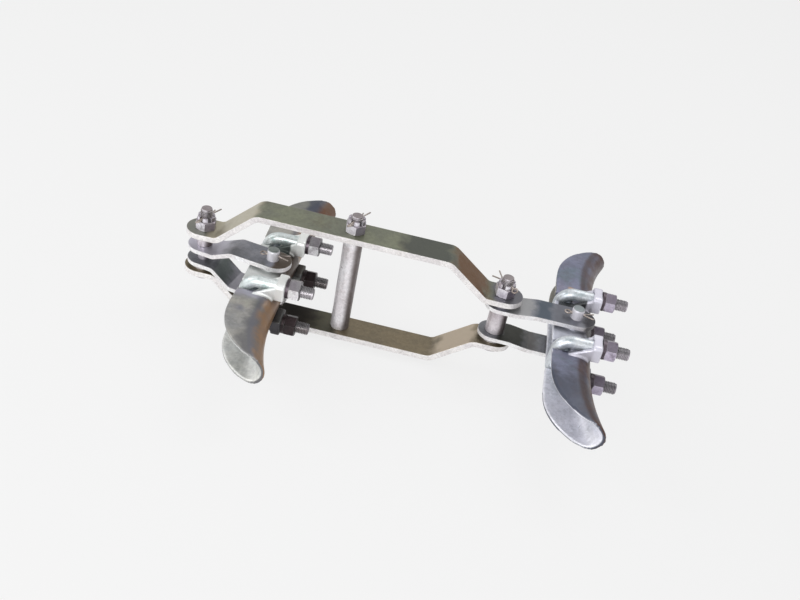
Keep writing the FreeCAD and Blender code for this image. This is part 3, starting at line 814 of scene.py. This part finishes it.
def small_part_finish(name, first, second, spot, patch=60.0, bright=0.6, shade=None, top_shade=None):
    """Galvanised bolts, nuts, tubes and wire.

    Shade is the painted shade of the side towards +X, and top shade that of the upper side.
    """
    def build(tree):
        skin = zinc(tree, (first, second, spot), patch_scale=patch, spots=0.5, crystal_scale=420.0)
        colour = skin["Color"]
        facing = use(tree, "facing")
        # Painted shade on the side towards +X and on the top.
        for side, painted_side_tone in (("Plus X", shade), ("Top", top_shade)):
            if painted_side_tone:
                colour = lay(tree, colour, facing[side], COVER["part_side"], painted_side_tone)
        colour = worn(tree, colour, bright=tone(232, 232, 228), amount=bright, radius=0.0008,
                      dirt_and_shade_tone=tone(50, 42, 42), depth=0.65, reach=0.004)
        return colour, skin["Roughness"], skin["Height"]
    return finish(name, metallic=0.55, bump=0.2, build=build)


def u_bolt_finish(side, first, second, spot, thread_tone, low_thread_shade_tone):
    """Bright U-bolt. Its threads are duller, and darker as painted shade on the lower legs, on top and
    towards +X.
    """
    pivot = CLAMPS[side]

    def build(tree):
        skin = zinc(tree, (first, second, spot), patch_scale=60.0, spots=0.5, crystal_scale=420.0)
        low = stretch_at(tree, pivot, "z", -CLAMP_REACH, 0.0, SOFT["low_leg"])
        legs = blend(tree, low, thread_tone, low_thread_shade_tone)
        facing = use(tree, "facing")
        # Painted shade on top of the threads and on their side towards +X.
        legs = lay(tree, legs, facing["Top"], COVER["leg_top"], LEG_TOP_SHADE)
        legs = lay(tree, legs, facing["Plus X"], COVER["leg_side"], LEG_SIDE_SHADE)
        ends = stretch_at(tree, pivot, "x", LEG_START, LEG_END + LEG_SPARE, SOFT["leg"])
        colour = lay(tree, skin["Color"], ends, COVER["leg"], legs)
        colour = worn(tree, colour, bright=tone(232, 232, 230), amount=0.5, radius=0.0008,
                      dirt_and_shade_tone=tone(42, 44, 44), depth=0.8, reach=0.004)
        return colour, skin["Roughness"], skin["Height"]
    return finish(side + "_u_bolt_zinc", metallic=0.55, bump=0.2, build=build)


# Painted shade and painted light in bands along each bar and strap, such as the dark lower bar by the left
# clamp, the dark strap ends and the lit end of the left upper strap under the bar, in millimetres along X:
# from, to, softness, tone and amount
BAR_LIGHT_AND_SHADE = {
    "upper": [(-30.0, 8.0, 6.0, tone(118, 118, 116), 0.6), (7.0, 68.0, 6.0, tone(177, 170, 150), 0.88),
              (256.0, 322.0, 12.0, tone(62, 65, 60), 0.85), (326.0, 374.0, 9.0, tone(94, 57, 4), 0.95),
              (382.0, 430.0, 9.0, tone(92, 91, 100), 0.9)],
    "lower": [(150.0, 192.0, 8.0, tone(62, 62, 48), 0.85), (60.0, 158.0, 12.0, tone(22, 16, 13), 0.92),
              (326.0, 376.0, 9.0, tone(190, 175, 155), 0.85)]}
STRAP_LIGHT_AND_SHADE = {
    "left_upper": [(-30.0, 34.0, 7.0, tone(196, 193, 206), 0.85), (100.0, 130.0, 4.0, tone(84, 70, 54), 0.9)],
    "left_lower": [(22.0, 36.0, 5.0, tone(74, 84, 80), 0.7), (42.0, 76.0, 6.0, tone(158, 155, 164), 0.7)],
    "right_upper": [(405.0, 436.0, 6.0, tone(156, 156, 157), 0.85),
                    (442.0, 462.0, 6.0, tone(58, 70, 82), 0.9),
                    (462.0, 498.0, 6.0, tone(88, 90, 98), 0.85),
                    (503.0, 530.0, 5.0, tone(28, 24, 30), 0.88)],
    "right_lower": [(405.0, 437.0, 7.0, tone(24, 24, 6), 0.93), (438.0, 452.0, 6.0, tone(78, 75, 72), 0.8)]}
# The same on the sheared sides: painted shade on the end of the right upper strap
STRAP_SIDE_SHADE = {"right_upper": [(504.0, 530.0, 3.0, tone(34, 28, 34), 0.92)]}

# Painted shade and painted highlights along the wings of each clamp, the same way but along Y
WING_LIGHT_AND_SHADE = {"left": [(110.0, 200.0, 16.0, tone(100, 101, 92), 0.7),
                        (-96.0, -78.0, 5.0, tone(168, 164, 184), 0.6)],
               "right": [(-200.0, -110.0, 24.0, tone(48, 53, 66), 0.8)]}

# Tones of each casting. The front wing's painted shade gives its start in X from the pivot, tone and amount,
# and keel start is the share of +X in a normal at which the keel's brown begins. The keel tones are a painted
# brown reflection, darker in the middle; the shoulder, back inside and low ears are painted shade; the
# inside, middle and ears are lightened as painted light.
CASTING_TONES = {
    "left": {"skin": (tone(166, 163, 155), tone(138, 138, 138), tone(100, 102, 116)),
             "inside": (tone(214, 214, 210), tone(198, 200, 200), tone(156, 160, 158)),
             "back_inside": tone(150, 146, 130), "shoulder": tone(92, 93, 102),
             "keel": tone(146, 112, 78), "back_keel": tone(108, 70, 44), "middle_keel": tone(62, 44, 28),
             "keel_start": 0.12, "front_shade": (3.0, tone(84, 84, 88), 0.75),
             "middle": tone(232, 236, 234), "ear": tone(246, 248, 246), "low_ear": tone(20, 16, 14)},
    "right": {"skin": (tone(120, 122, 144), tone(106, 110, 130), tone(98, 112, 124)),
              "inside": (tone(234, 234, 242), tone(216, 217, 225), tone(180, 184, 192)),
              "back_inside": tone(92, 86, 62), "shoulder": tone(60, 42, 38),
              "keel": tone(78, 48, 34), "back_keel": tone(72, 44, 34), "middle_keel": tone(34, 28, 26),
              "keel_start": -0.14, "front_shade": (6.0, tone(74, 78, 90), 0.7),
              "middle": tone(214, 216, 228), "ear": tone(228, 226, 238), "low_ear": tone(96, 92, 102)}}

# Painted shade and painted light in patches on the upper side of each casting, such as the dark shade under
# the
# U-bolts and a golden painted reflection behind the right back U-bolt: x and y in millimetres from the pivot,
# softness, tone and amount
UPPER_LIGHT_AND_SHADE = {
    "left": [((-16.0, 14.0), (33.0, 45.0), 1.2, tone(10, 42, 36), 0.9),
             ((-14.0, 4.0), (-66.0, -61.0), 1.2, tone(74, 70, 92), 0.7),
             ((-4.0, 5.0), (-41.0, -35.0), 1.2, tone(58, 112, 104), 0.7),
             ((8.0, 27.0), (146.0, 200.0), 6.0, tone(40, 46, 68), 0.8)],
    "right": [((-22.0, 14.0), (33.0, 45.0), 1.2, tone(10, 18, 18), 0.94),
              ((-14.0, 10.0), (-66.0, -61.0), 1.2, tone(44, 42, 56), 0.75),
              ((-20.0, 16.0), (-45.0, -39.0), 1.2, tone(90, 112, 122), 0.7),
              ((-9.0, -1.0), (74.0, 79.0), 3.5, tone(204, 150, 84), 0.85)]}

# Tones of the bars and straps: two of the patches, the spots, and the sheared sides lightened as a painted
# highlight
BAR_TONES = {"upper": (tone(117, 120, 100), tone(106, 108, 95), tone(95, 89, 71), tone(238, 235, 234)),
             "lower": (tone(119, 107, 84), tone(107, 97, 78), tone(86, 80, 64), tone(240, 237, 235))}
STRAP_TONES = {"upper": (tone(142, 142, 150), tone(122, 124, 132), tone(104, 108, 106), tone(240, 240, 242)),
               "lower": (tone(124, 124, 128), tone(104, 106, 110), tone(84, 90, 84), tone(236, 236, 236))}

# Tones of the U-bolts: two of the patches, the spots, the threads, and the lower legs' threads darkened as
# painted shade
U_BOLT_TONES = {"left": (tone(220, 225, 225), tone(200, 208, 208), tone(128, 156, 152),
                         tone(214, 206, 214), tone(98, 78, 80)),
                "right": (tone(206, 210, 214), tone(184, 190, 196), tone(122, 142, 148),
                          tone(200, 190, 200), tone(160, 150, 160))}

# Tones of the small parts: two of the patches, the spots, and what else sets them apart. Shade and top shade
# are painted shade on the side towards +X and on top; the shaded nut is darkened all over as painted shade.
SMALL_PARTS = {
    "keeper": (tone(160, 168, 178), tone(138, 146, 154), tone(110, 120, 126), {}),
    "frame_nut": (tone(238, 236, 242), tone(206, 200, 212), tone(112, 100, 110),
                  {"shade": tone(92, 82, 96), "top_shade": tone(150, 140, 148)}),
    "left_nut": (tone(244, 244, 246), tone(220, 216, 222), tone(120, 108, 118),
                 {"shade": tone(44, 36, 46), "top_shade": tone(70, 62, 70)}),
    "right_nut": (tone(204, 196, 214), tone(176, 166, 186), tone(104, 92, 104),
                  {"shade": tone(40, 33, 40), "top_shade": tone(80, 72, 82)}),
    "shaded_nut": (tone(56, 44, 46), tone(40, 32, 34), tone(30, 25, 25), {"bright": 0.2}),
    "washer": (tone(84, 74, 82), tone(62, 54, 60), tone(44, 36, 38), {"bright": 0.3}),
    "frame_bolt": (tone(222, 218, 224), tone(184, 178, 186), tone(84, 72, 78),
                   {"shade": tone(80, 70, 80), "top_shade": tone(116, 106, 104)}),
    "tube": (tone(210, 204, 208), tone(188, 180, 185), tone(148, 135, 134),
             {"patch": 30.0, "shade": tone(62, 46, 40)}),
    "long_tube": (tone(242, 240, 243), tone(224, 219, 222), tone(168, 154, 152),
                  {"patch": 30.0, "shade": tone(66, 48, 41)}),
    "wire": (tone(170, 160, 154), tone(140, 130, 124), tone(96, 84, 74), {"bright": 0.3})}

FINISHES = {}
for level in ("upper", "lower"):
    FINISHES[level + "_bar"] = rolled_bar_finish(level + "_bar_zinc", *BAR_TONES[level], BAR_LIGHT_AND_SHADE[level])
for side in CLAMPS:
    FINISHES[side + "_casting"] = casting_finish(side, CASTING_TONES[side], WING_LIGHT_AND_SHADE[side],
                                                 UPPER_LIGHT_AND_SHADE[side])
    FINISHES[side + "_u_bolt"] = u_bolt_finish(side, *U_BOLT_TONES[side])
    for level, tones in STRAP_TONES.items():
        strap = f"{side}_{level}"
        FINISHES[strap + "_strap"] = rolled_bar_finish(strap + "_strap_zinc", *tones, STRAP_LIGHT_AND_SHADE[strap],
                                                       STRAP_SIDE_SHADE.get(strap, ()))
for part, (first, second, spot, differences) in SMALL_PARTS.items():
    FINISHES[part] = small_part_finish(part + "_zinc", first, second, spot, **differences)


def dress(obj, finish_name, body, replaced):
    """Gives a new piece its finish and its body, and hides the solid that it replaces."""
    obj.data.materials.clear()
    obj.data.materials.append(FINISHES[finish_name])
    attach(obj, body)
    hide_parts(replaced)


# Pieces of the frame

def dress_frame():
    for level in ("upper", "lower"):
        node = "frame_bar_" + level
        bar = flat_bar(node + "_rolled", BAR_POINTS, 2, BAR_THICKNESS, BAR_WIDTH, BAR_BEND, BAR_HOLES,
                       BAR_HOLE_R, BAR_EDGE)
        placed_bar(bar, (0, 0, FRAME_MID_Z), 0.0, level == "lower")
        dress(bar, level + "_bar", "frame", node)
    thread = threaded_end("bolt_thread", BOLT_THREAD)
    for name in FRAME_BOLTS:
        bolt = frame_bolt(name, thread)
        crisp(bolt, BLUNT)
        dress(bolt, "frame_bolt", "frame", name + "_bolt")
        dress(eased(name + "_nut", NUT_EDGE), "frame_nut", "frame", name + "_nut")
        dress(wire_piece(name + "_split_pin"), "wire", "frame", name + "_split_pin")
    bpy.data.objects.remove(thread)
    for node, tube in (("middle_sleeve", "long_tube"), ("hanger_sleeve", "tube"), ("link_sleeve", "tube")):
        dress(eased(node, SLEEVE_EDGE), tube, "frame", node)
    for node in ("hanger_washer", "link_washer_upper", "link_washer_lower"):
        dress(eased(node, WASHER_EDGE), "frame_bolt", "frame", node)


# Pieces of the two pairs

def dress_straps(side):
    bolt_x, middle_z, half_gap, turn, clamp_gaps = STRAPS[side]
    half = STRAP_THICKNESS/2
    for level, clamp_gap in clamp_gaps.items():
        node = f"{side}_strap_{level}"
        line = [(STRAP_ENDS[0], half_gap + half), (STRAP_BENDS[0], half_gap + half),
                (STRAP_BENDS[1], clamp_gap + half), (STRAP_ENDS[1], clamp_gap + half)]
        strap = flat_bar(node + "_rolled", line, 2, STRAP_THICKNESS, STRAP_WIDTH, STRAP_BEND, STRAP_HOLES,
                         STRAP_HOLE_R, STRAP_EDGE)
        placed_bar(strap, (bolt_x, 0, middle_z), turn, level == "lower")
        dress(strap, f"{side}_{level}_strap", side + "_straps", node)


def dress_clamp(side, thread):
    clamp, keeper_set = side + "_clamp", side + "_keeper_set"
    body = casting(side + "_clamp_body", side + "_clamp_casting", BODY_CELL)
    dress(body, side + "_casting", clamp, side + "_clamp_body")
    keeper = casting(side + "_keeper", side + "_keeper_casting", KEEPER_CELL)
    dress(keeper, "keeper", keeper_set, side + "_keeper")
    for level in ("upper", "lower"):
        pin = f"{side}_trunnion_pin_{level}"
        dress(wire_piece(pin), "wire", clamp, pin)
    for row in ("front", "back"):
        rod = u_bolt(side, row, thread)
        crisp(rod, BLUNT)
        dress(rod, side + "_u_bolt", keeper_set, f"{side}_u_bolt_{row}")
        for level in ("upper", "lower"):
            nut, washer = (f"{side}_{kind}_{row}_{level}" for kind in ("u_nut", "spring_washer"))
            # The left clamp's lower nuts and washers are darkened all over as painted shade.
            shaded = side == "left" and level == "lower"
            nut_finish = "shaded_nut" if shaded else side + "_nut"
            washer_finish = "shaded_nut" if shaded else "washer"
            dress(eased(nut, NUT_EDGE), nut_finish, clamp, nut)
            dress(eased(washer, SPRING_WASHER_EDGE), washer_finish, clamp, washer)


dress_frame()
leg_thread = threaded_end("leg_thread", LEG_END - LEG_START)
for side in CLAMPS:
    dress_straps(side)
    dress_clamp(side, leg_thread)
bpy.data.objects.remove(leg_thread)


# Floor, light and camera

# Middle of the object along X, the floor's size and how far it lies below the object, in metres
MIDDLE_X, FLOOR_SIZE, FLOOR_GAP = 0.266, 14.0, 0.0002

# Greys, 0 to 1: the paper of the floor, and what the camera sees of floor and backdrop. The camera sees this
# share of the floor's own grey, and the rest is lit paper with the object's shadow.
PAPER_GREY, SEEN_FLOOR_GREY, BACKDROP_GREY = 0.86, 0.915, 0.896
SEEN_FLOOR_SHARE, ROOM_STRENGTH = 0.88, 0.42

# Softboxes: place and size in metres, and power in watts
LAMPS = {"front_softbox": ((-0.3, -1.9, 0.75), 1.1, 26.0),
         "side_softbox": ((-1.7, -0.3, 1.2), 0.9, 12.0),
         "top_softbox": ((0.9, 0.9, 1.9), 1.2, 10.0)}

# The photograph's camera: azimuth, elevation and roll in degrees, the point that it looks at and its distance
# in millimetres, and its focal length in pixels of an 800 pixel wide picture
CAMERA_ANGLES = (2.58, 35.51, 11.92)
CAMERA_TARGET, CAMERA_DISTANCE = Vector((266.7, 0.0, -2.77)), 1286.0
FOCAL_PIXELS, PICTURE_PIXELS, SENSOR_WIDTH, CLIP_START = 978.57, 800.0, 36.0, 0.01


def grey(level):
    return (level, level, level, 1)


def lit_and_seen(tree, lit, seen, share):
    """Mixes what lights the object with a share of what the camera, gloss and glass see."""
    path = add(tree, "LightPath")
    rays = combine(tree, "MAXIMUM", path.outputs["Is Camera Ray"], path.outputs["Is Glossy Ray"])
    rays = combine(tree, "MAXIMUM", rays, path.outputs["Is Transmission Ray"])
    mix = add(tree, "MixShader")
    for socket, item in zip(mix.inputs, (product(tree, rays, share), lit, seen)):
        feed(tree, socket, item)
    return mix.outputs[0]


def build_floor():
    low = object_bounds()[0][2]
    bpy.ops.mesh.primitive_plane_add(size=FLOOR_SIZE, location=(MIDDLE_X, 0.0, low - FLOOR_GAP))
    floor = bpy.context.object
    floor.name = "floor"
    material = bpy.data.materials.new("floor_paper")
    material.use_nodes = True
    tree = material.node_tree
    tree.nodes.clear()
    paper = fill(tree, add(tree, "BsdfDiffuse"), Color=grey(PAPER_GREY))
    glow = fill(tree, add(tree, "Emission"), Color=grey(SEEN_FLOOR_GREY))
    mix = lit_and_seen(tree, paper.outputs[0], glow.outputs[0], SEEN_FLOOR_SHARE)
    fill(tree, add(tree, "OutputMaterial"), Surface=mix)
    floor.data.materials.append(material)


def build_room():
    world = bpy.data.worlds.new("studio")
    bpy.context.scene.world = world
    world.use_nodes = True
    tree = world.node_tree
    tree.nodes.clear()
    room = fill(tree, add(tree, "Background"), Color=grey(1), Strength=ROOM_STRENGTH)
    backdrop = fill(tree, add(tree, "Background"), Color=grey(BACKDROP_GREY))
    mix = lit_and_seen(tree, room.outputs[0], backdrop.outputs[0], 1.0)
    fill(tree, add(tree, "OutputWorld"), Surface=mix)


def lamp(name, place, size, power):
    """Softbox that shines at the object's middle."""
    data = bpy.data.lights.new(name, "AREA")
    data.size = size
    data.energy = power
    obj = new_object(name, data)
    obj.location = place
    aim = Vector((MIDDLE_X, 0.0, 0.0)) - Vector(place)
    obj.rotation_euler = aim.to_track_quat("-Z", "Y").to_euler()


def build_camera():
    """Camera of the photograph, turned by the directions back to it and across and down its picture."""
    azimuth, elevation, roll = (math.radians(angle) for angle in CAMERA_ANGLES)
    level = math.cos(elevation)
    back = Vector((math.sin(azimuth)*level, -math.cos(azimuth)*level, math.sin(elevation)))
    right = Vector((math.cos(azimuth), math.sin(azimuth), 0))
    down = (-back).cross(right)
    across = right*math.cos(roll) - down*math.sin(roll)
    fall = right*math.sin(roll) + down*math.cos(roll)
    place = (CAMERA_TARGET + back*CAMERA_DISTANCE)*MM
    data = bpy.data.cameras.new("camera")
    data.sensor_width = SENSOR_WIDTH
    data.lens = FOCAL_PIXELS*SENSOR_WIDTH/PICTURE_PIXELS
    data.clip_start = CLIP_START
    obj = new_object("camera", data)
    turn = Matrix((across, -fall, back)).transposed().to_4x4()
    obj.matrix_world = Matrix.Translation(place) @ turn
    bpy.context.scene.camera = obj


build_floor()
build_room()
for name, (place, size, power) in LAMPS.items():
    lamp(name, place, size, power)
build_camera()
bpy.context.scene.view_settings.view_transform = "Standard"
